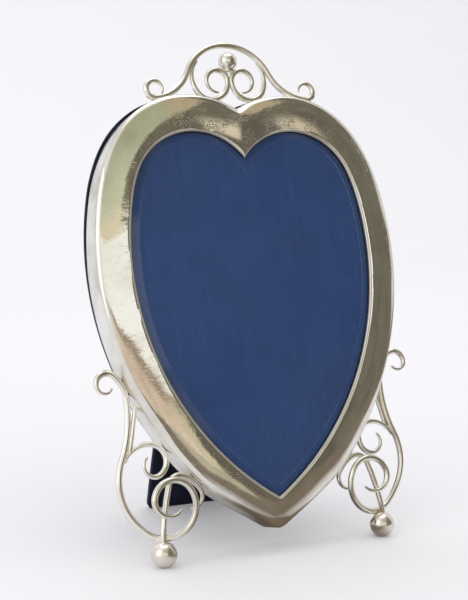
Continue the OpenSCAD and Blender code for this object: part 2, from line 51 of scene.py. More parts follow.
def asinD(v):
    return math.degrees(math.asin(v))


def acosD(v):
    return math.degrees(math.acos(v))


def ease(t):
    t = min(1, max(0, t))
    return t * t * (3 - 2 * t)


# the outline of the heart, in millimetres from the window's tip; the face's width changes with the way it faces
heart = {
    "tipSlope": 33.3, "windowTipR": 1.0, "sideR": 113, "sideTurn": 69.5, "shoulderR": 56, "shoulderTurn": 10,
    "lobeR": 26.5, "steps": [10, 56, 9, 54],
    "tipFaceW": 10.8, "sideFaceW": 13.4, "topFaceW": 15.8, "tipPower": 12,
    "narrowsFrom": -42, "narrowsOver": 15, "widensFrom": 20, "widensOver": 60,
    "aboveSide": 7, "headingStep": 3.8,  # stations past the side's table, and the reach for its heading
}


def bend(place, radius, turn):
    x, z, heading = place
    side = -1 if turn < 0 else 1
    after = heading + turn
    return (x + side * radius * (sinD(after) - sinD(heading)),
            z - side * radius * (cosD(after) - cosD(heading)), after)


def cornersOf(start, bends):
    places = [start]
    for radius, turn in bends:
        places.append(bend(places[-1], radius, turn))
    return places


def beside(place, d):
    return (place[0] - d * sinD(place[2]), place[1] + d * cosD(place[2]), place[2])


def stationsAlong(start, bends, steps):
    at = cornersOf(start, bends)
    out = []
    for b, (radius, turn) in enumerate(bends):
        for k in range(0 if b == 0 else 1, steps[b] + 1):
            out.append(bend(at[b], radius, turn * k / steps[b]))
    return out


sideBends = [(heart["windowTipR"], heart["tipSlope"]), (heart["sideR"], heart["sideTurn"]),
             (heart["shoulderR"], heart["shoulderTurn"])]
sidePlaces = cornersOf((0, 0, 0), sideBends)
lobeHeading = sidePlaces[3][2]
lobeX = sidePlaces[3][0] - heart["lobeR"] * sinD(lobeHeading)
outerLobeR = heart["lobeR"] + heart["topFaceW"]
windowBends = sideBends + [(heart["lobeR"], 180 + asinD(lobeX / heart["lobeR"]) - lobeHeading)]
outerBends = sideBends + [(heart["lobeR"], 90 + acosD(-lobeX / outerLobeR) - lobeHeading)]


def faceW(facing):
    narrower = ease((heart["narrowsFrom"] - facing) / heart["narrowsOver"])
    wider = ease((facing - heart["widensFrom"]) / heart["widensOver"])
    return (heart["sideFaceW"] - (heart["sideFaceW"] - heart["tipFaceW"]) * narrower
            + (heart["topFaceW"] - heart["sideFaceW"]) * wider)


def tipW(facing):
    p = heart["tipPower"]
    left = abs(cosD(facing + 90 - heart["tipSlope"])) ** p
    right = abs(cosD(facing + 90 + heart["tipSlope"])) ** p
    return (heart["tipFaceW"] + heart["windowTipR"]) / (left + right) ** (1 / p) - heart["windowTipR"]


windowRim = stationsAlong((0, 0, 0), windowBends, heart["steps"])
outerRim = []
for place in stationsAlong((0, 0, 0), outerBends, heart["steps"]):
    facing = place[2] - 90
    w = tipW(facing) if facing < heart["tipSlope"] - 90 else faceW(facing)
    outerRim.append((place[0] + w * cosD(facing), place[1] + w * sinD(facing)))
rimCount = len(outerRim)
faceWidths = [math.hypot(o[0] - w[0], o[1] - w[1]) for o, w in zip(outerRim, windowRim)]


def rimPoint(i, d):
    f = d / faceWidths[i]
    return (max(0, windowRim[i][0] + (outerRim[i][0] - windowRim[i][0]) * f),
            windowRim[i][1] + (outerRim[i][1] - windowRim[i][1]) * f)


def wholeHeart(half):
    return list(half) + [(-x, z) for x, z in reversed(half[1:-1])]


def outsideWindow(d):
    return wholeHeart([rimPoint(i, d) for i in range(rimCount)])


def insideEdge(e):
    return wholeHeart([rimPoint(i, faceWidths[i] - e) for i in range(rimCount)])


def interpolate(v, table):
    if v <= table[0][0]:
        return table[0][1]
    for (a, p), (b, q) in zip(table, table[1:]):
        if v <= b:
            return p + (q - p) * (v - a) / (b - a)
    return table[-1][1]


sideTable = [(z, x) for x, z in outerRim[:sum(heart["steps"][:2]) - heart["aboveSide"]]]
topTable = sorted((x, z) for x, z in outerRim[sum(heart["steps"][:3]):])


def sideAt(z):
    return interpolate(z, sideTable)


def sideHeading(z):
    step = heart["headingStep"]
    return math.degrees(math.atan2(2 * step, sideAt(z + step) - sideAt(z - step)))


# wire routes, as the solids have them: each is a chain of bends, with radii as shares of one radius
wires = {
    "r": 1.05, "scrollR": 0.95, "tieR": 0.8, "pointR": 0.4, "pointLen": 12, "bite": 0.12, "fit": 0.03,
    "full": 1.18, "sides": 24, "waver": 0.00008,  # drawn a little fuller than the solids
    "archR": 19.6, "archY": 8, "archCurlY": 5, "crestY": 6.5, "crestScrollAt": 47,
    "ringR": 6, "footBackY": 9.3, "ringY": 2.8, "ballY": 6, "footSeatZ": 46.6, "footSteeper": 1.8, "tieZ": 39.7,
    "stemHeading": 96, "ballR": 5, "ballFlat": 0.2, "ballShift": 0.43 * 6,
    "crestBallR": 3.8, "crestNeck": 0.6, "crestNeckR": 2.2,
    "solidTurn": 12,  # degrees of bend for each ring of the solids' wires
}


def bendsOf(shares, radius):
    return [(share * radius, turn) for share, turn in shares]


archBends = bendsOf([(1, -66.3), (0.98, 59.3), (0.173, 276)], wires["archR"])
archLeftBends = bendsOf([(1, -66.3), (0.98, 59.3), (0.173, 309)], wires["archR"])
crestScrollBends = bendsOf([(0.531, -73.5), (0.376, -128), (0.397, -24), (0.237, -267)], wires["archR"])
footBends = bendsOf([(1.4, 16), (8.5, 28), (3.87, -55), (4.72, -17), (1.93, -169), (1.35, -127), (1, -155)],
                    wires["ringR"])
footTopBends = bendsOf([(2.55, -27), (0.72, -149), (0.52, -132)], wires["ringR"])
footCurlBends = bendsOf([(1.67, 74), (1.1, 98), (1.05, 41), (0.72, 171)], wires["ringR"])
crookBends = bendsOf([(16, 12.9), (0.79, 95.3), (2.3, 37), (0.76, 122)], wires["ringR"])


def routeOf(start, bends, turn=4):
    return stationsAlong(start, bends, [max(2, math.ceil(abs(angle) / turn)) for radius, angle in bends])


def runsOf(route):
    run = [0]
    for a, b in zip(route, route[1:]):
        run.append(run[-1] + math.hypot(b[0] - a[0], b[1] - a[1]))
    return run


def lengthOf(bends):
    return sum(radius * math.radians(abs(turn)) for radius, turn in bends)


def deep(route, knots):
    out = []
    for place, s in zip(route, runsOf(route)):
        y = knots[0][1]
        for (s0, y0), (s1, y1) in zip(knots, knots[1:]):
            y += (y1 - y0) * ease((s - s0) / (s1 - s0))
        out.append((place[0], y, place[1]))
    return out


# the crest rests on the two lobes
crestRise = beside(bend((0, 0, 0), wires["archR"], -wires["crestScrollAt"]), -(wires["r"] + wires["pointR"]))
archSeat = [s for s in routeOf((0, 0, 0), archBends, wires["solidTurn"]) if s[2] < -2 and s[0] > wires["archR"]]
archZ = max([interpolate(s[0], topTable) + (wires["r"] - wires["bite"]) / cosD(s[2]) - s[1] for s in archSeat]
            + [interpolate(abs(s[0]), topTable) + wires["scrollR"] - wires["bite"] - s[1]
               for s in routeOf(crestRise, crestScrollBends, wires["solidTurn"])])
archHalf = lengthOf(archLeftBends)
archRoute = deep([(-x, z) for x, z, h in reversed(routeOf((0, archZ, 0), archLeftBends))]
                 + [(x, z) for x, z, h in routeOf((0, archZ, 0), archBends)[1:]],
                 [(0, wires["archCurlY"]), (archHalf, wires["archY"]), (2 * archHalf, wires["archCurlY"])])
crestStart = (crestRise[0], crestRise[1] + archZ, crestRise[2])
crestRoute = deep(routeOf(crestStart, crestScrollBends),
                  [(0, wires["archY"] - wires["scrollR"] / 2), (archHalf / 2, wires["crestY"])])
crestReach = wires["crestBallR"] + wires["scrollR"]
crestBallZ = wires["crestNeck"] + max(s[2] + math.sqrt(crestReach ** 2 - s[0] ** 2)
                                      for s in crestRoute if abs(s[0]) < crestReach)

# the feet: each scroll winds forward so that its ring passes in front of the stem
footHeading = sideHeading(wires["footSeatZ"]) + wires["footSteeper"]
footStart = beside((sideAt(wires["footSeatZ"]), wires["footSeatZ"], footHeading), -(wires["r"] - wires["bite"]))
footDownStart = (footStart[0], footStart[1], footHeading - 180)
seatRun = lengthOf(footTopBends)
footRoute = deep([(x, z) for x, z, h in reversed(routeOf(footStart, footTopBends))]
                 + [(x, z) for x, z, h in routeOf(footDownStart, footBends)[1:]],
                 [(0, wires["footBackY"] - 1.5 * wires["r"]), (seatRun, wires["footBackY"]),
                  (seatRun + lengthOf(footBends[:3]), wires["footBackY"]),
                  (seatRun + lengthOf(footBends[:5]), wires["ringY"])])
footLow = min(footRoute, key=lambda s: s[2])
loopR = footBends[4][0]
ballReach = math.sqrt((wires["ballR"] + wires["r"] - wires["bite"]) ** 2 - (footLow[1] - wires["ballY"]) ** 2)
ballX = footLow[0] + wires["ballShift"]
ballZ = footLow[2] + loopR - math.sqrt((loopR + ballReach) ** 2 - wires["ballShift"] ** 2)
branch = cornersOf(footDownStart, footBends)[2]
curlStart = beside((branch[0], branch[1], branch[2] + 180), wires["r"] + wires["pointR"])
curlRoute = deep(routeOf(curlStart, footCurlBends),
                 [(0, wires["footBackY"]), (lengthOf(footCurlBends), wires["footBackY"] - 2 * wires["r"])])
stemY = wires["ringY"] + wires["r"] + wires["scrollR"] + wires["fit"]
crookZ = ballZ + math.sqrt(wires["ballR"] ** 2 - (wires["ballY"] - stemY) ** 2) - wires["bite"]
crookFree = routeOf((ballX, crookZ, wires["stemHeading"]), crookBends)
crookGap, crookRestZ = min(((s[0] - sideAt(s[1])) * sinD(sideHeading(s[1])), s[1]) for s in crookFree)
crookShift = (wires["scrollR"] - wires["bite"] - crookGap) / sinD(sideHeading(crookRestZ))
crookRoute = deep([(x + crookShift, z) for x, z, h in crookFree],
                  [(0, stemY), (lengthOf(crookBends), stemY + wires["scrollR"])])
tieTop = (sideAt(wires["tieZ"]), wires["tieZ"])
tieFoot = routeOf(curlStart, footCurlBends, wires["solidTurn"])[2]
tieWay = Vector((tieFoot[0] - tieTop[0], tieFoot[1] - tieTop[1]))
tieReach = tieWay.normalized() * (tieWay.length - wires["scrollR"] + wires["bite"])
tieSteps = 6
tieRoute = [(tieTop[0] + tieReach.x * k / tieSteps, wires["footBackY"], tieTop[1] + tieReach.y * k / tieSteps)
            for k in range(tieSteps + 1)]

# the stance: the heart leans back on its balls and the strut's foot
stance = {"lean": 14.1, "strutOpen": 29.5, "hingeZ": 103.3, "pinY": 18.9, "knuckleR": 1.2, "strutT": 2.2,
          "velvetT": 0.7, "strutFootW": 50.6, "strutTopW": 25, "strutCornerR": 3, "strutDrop": 2,
          "strutTaper": 2.5, "strutEdgeR": 0.8, "strutRows": 40}


def leantY(y, z):
    return y * cosD(stance["lean"]) + z * sinD(stance["lean"])


def leantZ(y, z):
    return z * cosD(stance["lean"]) - y * sinD(stance["lean"])


strutBackY = stance["knuckleR"] + stance["strutT"] + 2 * stance["velvetT"]
strutA = stance["strutOpen"] - stance["lean"]
lift = wires["ballR"] - wires["ballFlat"] - leantZ(wires["ballY"], ballZ)
pinUp = leantZ(stance["pinY"], stance["hingeZ"]) + lift
pinBack = leantY(stance["pinY"], stance["hingeZ"])
strutRear = pinBack + pinUp * math.tan(math.radians(strutA)) + strutBackY / cosD(strutA)
middleY = (leantY(wires["ballY"], ballZ) - wires["ballR"] + strutRear) / 2
strutLen = (pinUp + strutBackY * sinD(strutA)) / cosD(strutA)
toStand = (Matrix.Scale(mm, 4) @ Matrix.Translation((0, -middleY, lift))
           @ Matrix.Rotation(math.radians(-stance["lean"]), 4, "X"))
toStrut = (Matrix.Scale(mm, 4) @ Matrix.Translation((0, pinBack - middleY, pinUp))
           @ Matrix.Rotation(math.radians(strutA), 4, "X"))
print("outline and wire routes worked out; ball at", round(ballX, 2), round(ballZ, 2))

# the camera, placed from the window's tip
shot = {"place": (-217.99, -435.62, 135.70), "aim": (-10.79, 19.05, 75.21), "lens": 77.08, "clip": (0.02, 20)}
windowTip = Vector((0, -middleY, lift))
cam = bpy.data.objects.new("shotCamera", bpy.data.cameras.new("shotCamera"))
bpy.context.scene.collection.objects.link(cam)
camPlace = Vector(shot["place"]) + windowTip
camAim = Vector(shot["aim"]) + windowTip
cam.location = camPlace * mm
cam.rotation_euler = (camAim - camPlace).to_track_quat("-Z", "Y").to_euler()
cam.data.lens = shot["lens"]
cam.data.sensor_width = 36
cam.data.clip_start, cam.data.clip_end = shot["clip"]
bpy.context.scene.camera = cam


def newTree(name, kind, inputs, outputs):
    tree = bpy.data.node_groups.new(name, kind)
    for title, socketKind, value in inputs:
        socket = tree.interface.new_socket(name=title, in_out="INPUT", socket_type=socketKind)
        if value is not None:
            socket.default_value = value
    for title, socketKind in outputs:
        tree.interface.new_socket(name=title, in_out="OUTPUT", socket_type=socketKind)
    return tree, tree.nodes.new("NodeGroupInput"), tree.nodes.new("NodeGroupOutput")


def feed(tree, node, **values):  # links or sets each input, by name with _ for a space, or by number as i0, i1
    for key, value in values.items():
        target = node.inputs[int(key[1:]) if key[1:].isdigit() else key.replace("_", " ")]
        if isinstance(value, bpy.types.NodeSocket):
            tree.links.new(value, target)
        else:
            target.default_value = (*value, 1) if target.type == "RGBA" and len(value) == 3 else value
    return node


def addNode(tree, kind, settings=None, **values):
    node = tree.nodes.new(kind)
    for key, value in (settings or {}).items():
        setattr(node, key, value)
    return feed(tree, node, **values)


def mathNode(tree, operation, a, b=0.5, clamp=False):
    return addNode(tree, "ShaderNodeMath", {"operation": operation, "use_clamp": clamp}, i0=a, i1=b).outputs[0]


def times(tree, a, b):
    return mathNode(tree, "MULTIPLY", a, b)


def plus(tree, a, b, clamp=False):
    return mathNode(tree, "ADD", a, b, clamp)


def mixColor(tree, fac, a, b):
    return addNode(tree, "ShaderNodeMix", {"data_type": "RGBA"}, i0=fac, i6=a, i7=b).outputs[2]


def rampNode(tree, value, start, end, low=0.0, high=1.0):
    return addNode(tree, "ShaderNodeMapRange", i0=value, i1=start, i2=end, i3=low, i4=high).outputs[0]


def noiseNode(tree, place, scale, detail=2.0, rough=0.5):
    node = addNode(tree, "ShaderNodeTexNoise", Vector=place, Scale=scale, Detail=detail, Roughness=rough)
    return node.outputs["Fac"]


def mapped(tree, place, **values):
    return addNode(tree, "ShaderNodeMapping", Vector=place, **values).outputs[0]


def bumpNode(tree, strength, distance, height):
    return addNode(tree, "ShaderNodeBump", Strength=strength, Distance=distance, Height=height).outputs[0]


def attributeOf(tree, name):
    return addNode(tree, "ShaderNodeAttribute", {"attribute_name": name}).outputs["Fac"]


def objectPlace(tree):
    return tree.nodes.new("ShaderNodeTexCoord").outputs["Object"]


# haze, fine scratches and pits of hand polished silver, shared by all its pieces
silverWear = {"cloud": 60.0, "fine": 900.0, "pit": 1250.0, "pitR": 0.40, "pitPatch": 160.0,
              "patchFrom": (0.42, 0.72), "scratch": 28.0, "scratchFrom": (0.68, 0.76),
              "scratchWays": ((0.4, 90.0), (1.5, 70.0), (2.4, 110.0)),
              "roughFine": 0.04, "roughHaze": 0.10, "roughPits": 0.2, "pitDirt": 0.6,
              "cloudH": 0.5, "scratchH": 0.12, "pitH": 0.65, "fineH": 0.05}


def makeOldSilver():
    wear = silverWear
    tree, gin, gout = newTree("oldSilver", "ShaderNodeTree", [
        ("Vector", "NodeSocketVector", None), ("Clean", "NodeSocketColor", (0.9, 0.87, 0.8, 1)),
        ("Tarnish", "NodeSocketColor", (0.45, 0.4, 0.3, 1)), ("Tarnish Amount", "NodeSocketFloat", 0.3),
        ("Scratches", "NodeSocketFloat", 0.5), ("Pits", "NodeSocketFloat", 0.4),
        ("Worn", "NodeSocketFloat", 1.0), ("Polish", "NodeSocketFloat", 0.14)],
        [("Color", "NodeSocketColor"), ("Roughness", "NodeSocketFloat"), ("Height", "NodeSocketFloat")])
    given = gin.outputs
    cloud = noiseNode(tree, given["Vector"], wear["cloud"], 4.0, 0.6)
    fine = noiseNode(tree, given["Vector"], wear["fine"], 3.0, 0.6)
    lines = 0.0
    for k, (turn, stretch) in enumerate(wear["scratchWays"]):
        way = mapped(tree, given["Vector"], Rotation=(turn * 1.7, turn, turn * 0.6),
                     Location=(k * 3.1, k * 1.7, 0.0), Scale=(1.0, stretch, stretch * 0.8))
        line = rampNode(tree, noiseNode(tree, way, wear["scratch"]), *wear["scratchFrom"])
        lines = mathNode(tree, "MAXIMUM", lines, line)
    cells = addNode(tree, "ShaderNodeTexVoronoi", Vector=given["Vector"], Scale=wear["pit"])
    dots = rampNode(tree, cells.outputs["Distance"], 0.0, wear["pitR"], 1.0, 0.0)
    where = rampNode(tree, noiseNode(tree, given["Vector"], wear["pitPatch"]), *wear["patchFrom"])
    pits = times(tree, times(tree, times(tree, dots, where), given["Pits"]), given["Worn"])
    haze = times(tree, rampNode(tree, cloud, *wear["patchFrom"]), given["Tarnish Amount"])
    dirt = plus(tree, haze, times(tree, pits, wear["pitDirt"]), True)
    rough = plus(tree, given["Polish"], times(tree, fine, wear["roughFine"]))
    rough = plus(tree, rough, times(tree, haze, wear["roughHaze"]))
    rough = plus(tree, rough, times(tree, pits, wear["roughPits"]), True)
    scratched = times(tree, times(tree, lines, given["Scratches"]), wear["scratchH"])
    height = mathNode(tree, "SUBTRACT", times(tree, cloud, wear["cloudH"]), scratched)
    height = mathNode(tree, "SUBTRACT", height, times(tree, pits, wear["pitH"]))
    height = plus(tree, height, times(tree, fine, wear["fineH"]))
    color = mixColor(tree, dirt, given["Clean"], given["Tarnish"])
    feed(tree, gout, Color=color, Roughness=rough, Height=height)
    return tree


oldSilver = makeOldSilver()
silverLook = {
    "face": {"clean": (0.86, 0.84, 0.78), "tarnish": (0.52, 0.45, 0.33), "haze": 0.40, "scratches": 0.6,
             "pits": 1.0, "polish": 0.03, "bump": 0.12, "lipRough": 0.36,
             "wornWay": (0.6, 0.8), "wornFrom": (0.085, 0.125), "least": 0.12},  # pits gather at the upper right
    "band": {"clean": (0.92, 0.91, 0.88), "tarnish": (0.55, 0.50, 0.40), "haze": 0.85, "scratches": 0.8,
             "pits": 0.4, "polish": 0.14, "bump": 0.05},
    "wire": {"clean": (0.95, 0.925, 0.86), "tarnish": (0.50, 0.44, 0.33), "haze": 0.45, "scratches": 0.3,
             "pits": 0.5, "polish": 0.14, "bump": 0.03},
    "ball": {"clean": (0.95, 0.91, 0.84), "tarnish": (0.56, 0.50, 0.39), "haze": 0.65, "scratches": 0.6,
             "pits": 0.8, "polish": 0.20, "bump": 0.05},
    "crestBall": {"clean": (0.93, 0.91, 0.86), "tarnish": (0.48, 0.42, 0.33), "haze": 0.6, "scratches": 0.6,
                  "pits": 0.5, "polish": 0.09, "bump": 0.05},
}


def newMaterial(name):
    mat = bpy.data.materials.new(name)
    mat.use_nodes = True
    tree = mat.node_tree
    tree.nodes.clear()
    shader = tree.nodes.new("ShaderNodeBsdfPrincipled")
    feed(tree, tree.nodes.new("ShaderNodeOutputMaterial"), Surface=shader.outputs[0])
    return mat, tree, shader


def silverMaterial(kind):
    look = silverLook[kind]
    mat, tree, shader = newMaterial(kind + "Silver")
    place = objectPlace(tree)
    effect = addNode(tree, "ShaderNodeGroup", {"node_tree": oldSilver}, Vector=place, Clean=look["clean"],
                     Tarnish=look["tarnish"], Tarnish_Amount=look["haze"], Scratches=look["scratches"],
                     Pits=look["pits"], Polish=look["polish"])
    if "wornFrom" in look:
        x, y, z = addNode(tree, "ShaderNodeSeparateXYZ", Vector=place).outputs
        along = plus(tree, times(tree, z, look["wornWay"][1]), times(tree, x, look["wornWay"][0]))
        feed(tree, effect, Worn=rampNode(tree, along, *look["wornFrom"], look["least"]))
    rough = effect.outputs["Roughness"]
    if "lipRough" in look:
        rough = plus(tree, rough, times(tree, attributeOf(tree, "lip"), look["lipRough"]))
    feed(tree, shader, Base_Color=effect.outputs["Color"], Roughness=rough, Metallic=1.0,
         Normal=bumpNode(tree, look["bump"], 0.001, effect.outputs["Height"]))
    return mat


silver = {kind: silverMaterial(kind) for kind in silverLook}


def makeTwill():
    look = {"pitch": 0.00095, "ribTurn": -38, "ribs": 0.26, "worn": 0.46, "warp": 0.28, "underRim": 0.92,
            "shadow": (0.003, 0.004, 0.009), "dark": (0.009, 0.040, 0.165), "light": (0.052, 0.182, 0.655)}
    waves = 0.314 / look["pitch"]  # a Wave Texture's scale for one band per pitch
    mat, tree, shader = newMaterial("blueTwill")
    uv = addNode(tree, "ShaderNodeUVMap", {"uv_map": "cloth"}).outputs[0]
    slanted = mapped(tree, uv, Rotation=(0, 0, math.radians(look["ribTurn"])))
    ribs = addNode(tree, "ShaderNodeTexWave", {"bands_direction": "X"}, Vector=slanted, Scale=waves,
                   Distortion=0.6, Detail=2.0, Detail_Scale=1.5).outputs["Fac"]
    threads = addNode(tree, "ShaderNodeTexWave", {"bands_direction": "Y"}, Vector=uv, Scale=waves / 0.6,
                      Distortion=0.8, Detail=1.0).outputs["Fac"]
    weave = plus(tree, times(tree, ribs, 0.7), times(tree, threads, 0.3))
    warp = noiseNode(tree, mapped(tree, uv, Scale=(420.0, 26.0, 1.0)), 1.0, 3.0, 0.6)
    cloud = noiseNode(tree, uv, 38.0, 5.0, 0.65)
    shade = plus(tree, times(tree, weave, look["ribs"]), times(tree, cloud, look["worn"]))
    shade = plus(tree, shade, times(tree, warp, look["warp"]), True)
    cloth = mixColor(tree, shade, look["dark"], look["light"])
    dim = times(tree, attributeOf(tree, "underRim"), look["underRim"])
    feed(tree, shader, Base_Color=mixColor(tree, dim, cloth, look["shadow"]), Roughness=0.62,
         Normal=bumpNode(tree, 0.2, 0.0002, weave), Sheen_Weight=0.08, Sheen_Roughness=0.4,
         Sheen_Tint=(0.35, 0.50, 0.95))
    return mat


def makeVelvet():
    mat, tree, shader = newMaterial("inkVelvet")
    place = objectPlace(tree)
    pile = noiseNode(tree, place, 2600.0)
    shade = plus(tree, times(tree, noiseNode(tree, place, 70.0, 3.0, 0.55), 0.6), times(tree, pile, 0.4), True)
    nap = mixColor(tree, rampNode(tree, shade, 0.35, 0.65), (0.0035, 0.004, 0.009), (0.014, 0.016, 0.034))
    feed(tree, shader, Base_Color=nap, Normal=bumpNode(tree, 0.5, 0.0003, pile), Roughness=0.95,
         Specular_IOR_Level=0.15, Sheen_Weight=0.6, Sheen_Roughness=0.35, Sheen_Tint=(0.25, 0.28, 0.42))
    return mat


def makeGlass():
    mat, tree, shader = newMaterial("clearGlass")
    smear = noiseNode(tree, objectPlace(tree), 40.0, 4.0)
    feed(tree, shader, Base_Color=(0.97, 0.99, 0.985), Transmission_Weight=1.0, IOR=1.5,
         Roughness=rampNode(tree, smear, 0.3, 0.8, 0.0, 0.05))
    clear = addNode(tree, "ShaderNodeBsdfTransparent", Color=(0.93, 0.95, 0.95))  # light reaches the lining
    out = shader.outputs[0].links[0].to_node
    shadowRay = tree.nodes.new("ShaderNodeLightPath").outputs["Is Shadow Ray"]
    mix = addNode(tree, "ShaderNodeMixShader", i0=shadowRay, i1=shader.outputs[0], i2=clear.outputs[0])
    feed(tree, out, Surface=mix.outputs[0])
    return mat


def makeBrass():
    mat, tree, shader = newMaterial("agedBrass")
    cloud = noiseNode(tree, objectPlace(tree), 300.0, 5.0, 0.6)
    feed(tree, shader, Metallic=1.0, Roughness=rampNode(tree, cloud, 0.3, 0.8, 0.22, 0.5),
         Base_Color=mixColor(tree, rampNode(tree, cloud, 0.4, 0.7), (0.62, 0.44, 0.18), (0.30, 0.20, 0.09)),
         Normal=bumpNode(tree, 0.1, 0.0004, cloud))
    return mat


def makeWood():
    mat, tree, shader = newMaterial("plainOak")
    grain = noiseNode(tree, mapped(tree, objectPlace(tree), Scale=(1.0, 1.0, 0.08)), 420.0, 6.0, 0.7)
    feed(tree, shader, Base_Color=mixColor(tree, grain, (0.20, 0.11, 0.05), (0.52, 0.35, 0.19)), Roughness=0.6,
         Normal=bumpNode(tree, 0.3, 0.0003, grain))
    return mat


def makeCard():
    mat, tree, shader = newMaterial("greyCard")
    fibre = noiseNode(tree, objectPlace(tree), 900.0, 5.0, 0.7)
    feed(tree, shader, Base_Color=mixColor(tree, fibre, (0.46, 0.41, 0.33), (0.64, 0.59, 0.49)), Roughness=0.85)
    return mat


twill, velvet, glass = makeTwill(), makeVelvet(), makeGlass()
brass, wood, card = makeBrass(), makeWood(), makeCard()
print("materials made")


def enclosedVolume(mesh):
    total = 0
    for poly in mesh.polygons:
        corners = [mesh.vertices[i].co for i in poly.vertices]
        total += sum(corners[0].dot(a.cross(b)) for a, b in zip(corners[1:], corners[2:]))
    return total / 6


def putMesh(name, verts, faces, place, material, smoothAngle=40, uvs=None):
    mesh = bpy.data.meshes.new(name)
    mesh.from_pydata([place @ Vector(v) for v in verts], [], faces)
    mesh.validate()
    if enclosedVolume(mesh) < 0:
        mesh.flip_normals()
    mesh.materials.append(material)
    if uvs:
        layer = mesh.uv_layers.new(name="cloth")
        for loop in mesh.loops:
            layer.data[loop.index].uv = uvs[loop.vertex_index]
    obj = bpy.data.objects.new(name, mesh)
    bpy.context.scene.collection.objects.link(obj)
    for poly in mesh.polygons:
        poly.use_smooth = True
    if smoothAngle:
        mesh.set_sharp_from_angle(angle=math.radians(smoothAngle))
    return obj


def markPoints(obj, name, values):
    layer = obj.data.attributes.new(name, "FLOAT", "POINT")
    for i, value in enumerate(values):
        layer.data[i].value = value


def ringFaces(rings, count, closed=True):
    faces = []
    for j in range(rings if closed else rings - 1):
        for i in range(count):
            a, b = j * count + i, j * count + (i + 1) % count
            c, d = (j + 1) % rings * count + i, (j + 1) % rings * count + (i + 1) % count
            faces.append((a, b, d, c))
    return faces


def closedStack(rings, count):
    last = (rings - 1) * count
    return ringFaces(rings, count, False) + [tuple(range(count - 1, -1, -1)), tuple(range(last, last + count))]


def register(obj, body, slot, *replaced):
    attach(obj, body)
    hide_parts(*replaced)
    return obj


# the silver face: a bright lip, a dome, a shoulder that rolls over to the seam, and the sheet's underside
faceShape = {"lipW": 1.1, "lipH": 1.1, "cone": 0.9, "fall": 1.9, "fallPower": 2.6, "seamY": 3.2, "sheetT": 0.8,
             "domeSteps": 18, "shoulderW": 2.4, "shoulderSteps": 8, "tipRoll": 0.45, "rollGrows": 2.0,
             "seamIn": 0.12, "seamRound": 0.1, "cuspBlend": 4.5, "lipRings": 8,
             "lip": [(0, 0), (0.02, -0.3), (0.12, -0.62), (0.3, -0.84), (0.5, -0.9), (0.66, -0.87),
                     (0.78, -0.86), (0.9, -0.95), (0.99, -1.04)],
             "dents": [(0.045, 0.14, 0), (0.14, 0.035, 9)], "dentsTo": 1.0}


def domeDepth(t):
    s = faceShape
    return -s["lipH"] + s["cone"] * t + (s["fall"] - s["cone"]) * t ** s["fallPower"]


def roundTurn(a, b, c, t):
    return tuple(p * (1 - t) ** 2 + 2 * q * t * (1 - t) + r * t * t for p, q, r in zip(a, b, c))


def faceSection(w):
    s, t = faceShape, faceShape["sheetT"]
    roll = s["shoulderW"] * (s["tipRoll"] + (1 - s["tipRoll"]) * ease((w - heart["tipFaceW"]) / s["rollGrows"]))
    span = w - s["lipW"] - roll
    slope = (s["cone"] + s["fallPower"] * (s["fall"] - s["cone"])) / span
    edge = (w - roll, domeDepth(1))
    turn = (w, domeDepth(1) + roll * slope)
    inEdge = (edge[0] - 0.3 * t, edge[1] + t)
    inTurn = (turn[0] - t, turn[1] + 0.6 * t)
    inSeam = (w - t, s["seamY"])
    dome = [(s["lipW"] + span * k / s["domeSteps"], domeDepth(k / s["domeSteps"]))
            for k in range(s["domeSteps"])]
    shoulder = [roundTurn(edge, turn, (w, s["seamY"] - s["seamIn"]), k / s["shoulderSteps"])
                for k in range(s["shoulderSteps"] + 1)]
    under = [(w - s["seamRound"], s["seamY"]), inSeam]
    under += [roundTurn(inEdge, inTurn, inSeam, k / 3) for k in (2, 1, 0)]
    under += [(s["lipW"] + span * k, domeDepth(k) + t) for k in (0.7, 0.4, 0.15)]
    return s["lip"] + dome + shoulder + under + [(s["lipW"], t - s["lipH"]), (0.6 * s["lipW"], 0)]


def softened(x, y, z):  # the crease that runs from the notch to the crest, as soft as pressed sheet leaves it
    top = sidePlaces[3][1] + heart["lobeR"] * cosD(lobeHeading)
    blend = faceShape["cuspBlend"]
    if abs(x) > 3 * blend or z < top:
        return y
    span = heart["topFaceW"] - faceShape["lipW"] - faceShape["shoulderW"]

    def depthAt(across):
        t = (math.hypot(across - lobeX, z - top) - heart["lobeR"] - faceShape["lipW"]) / span
        return domeDepth(min(1, max(0, t)))

    fade = ease((3 * blend - abs(x)) / blend)
    return y + (depthAt(math.hypot(x, blend)) - depthAt(abs(x))) * fade


def makeFace():
    verts = []
    lipRows = len(faceShape["lip"])
    sections = [faceSection(w) for w in faceWidths]
    for j in range(len(sections[0])):
        half = [(rimPoint(i, sections[i][j][0]), sections[i][j][1]) for i in range(rimCount)]
        ring = [(x, y, z) for (x, z), y in half] + [(-x, y, z) for (x, z), y in reversed(half[1:-1])]
        for x, y, z in ring:
            dent = 0
            if j >= lipRows and y < faceShape["dentsTo"]:
                dent = sum(noise.noise(Vector((x, y + away, z)) * scale) * size
                           for scale, size, away in faceShape["dents"])
            if lipRows <= j <= lipRows + faceShape["domeSteps"]:
                y = softened(x, y, z)
            verts.append((x, y + dent, z))
    rows, count = len(sections[0]), len(verts) // len(sections[0])
    obj = putMesh("silverFace", verts, ringFaces(rows, count), toStand, silver["face"], 50)
    markPoints(obj, "lip", [1 if i < faceShape["lipRings"] * count else 0 for i in range(len(verts))])
    return register(obj, "heart", "silver", "silver_face")


makeFace()

# the silver side band, with a fine rounded edge at the seam
bandShape = {"depth": 11.3, "t": 0.8, "rows": 10, "edgeIn": 0.12, "edgeRise": 0.14, "dentScale": 0.05,
             "dent": 0.07, "middleZ": 75}


